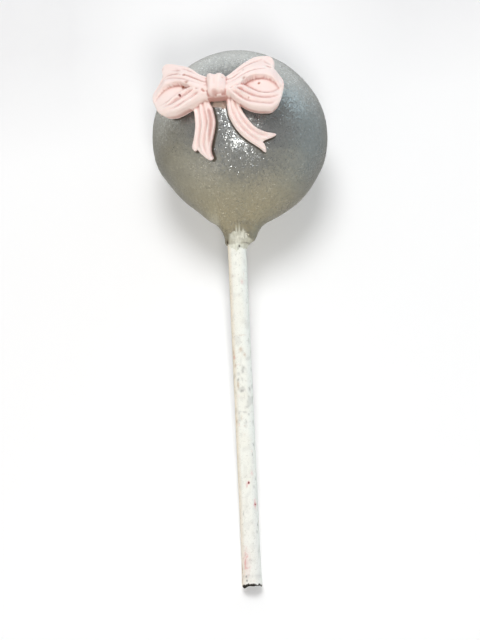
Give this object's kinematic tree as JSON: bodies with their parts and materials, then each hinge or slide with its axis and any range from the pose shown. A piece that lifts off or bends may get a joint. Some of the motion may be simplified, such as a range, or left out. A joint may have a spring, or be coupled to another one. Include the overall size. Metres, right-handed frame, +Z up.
{
  "type": "cake pop",
  "caption": "Cake pop lying on its side: round cake in a pearl grey coating on a paper stick, topped with a moulded pink bow, served as a small sweet.",
  "frame": {"origin": "centre of the flat spot under the ball, on the surface that the cake pop lies on", "axes": "+Z up, -Y from the ball along the stick to its free end, +X to the right as seen from the stick's end"},
  "size_m": [0.0378, 0.1138, 0.0424],
  "materials": {
    "coating": "satin pearl lustre",
    "paper": "matte rolled paper, stained",
    "icing": "matte moulded sugar paste"
  },
  "bodies": {
    "root": {"cake_ball": "coating", "stick": "paper", "bow": "icing"}
  },
  "joints": []
}
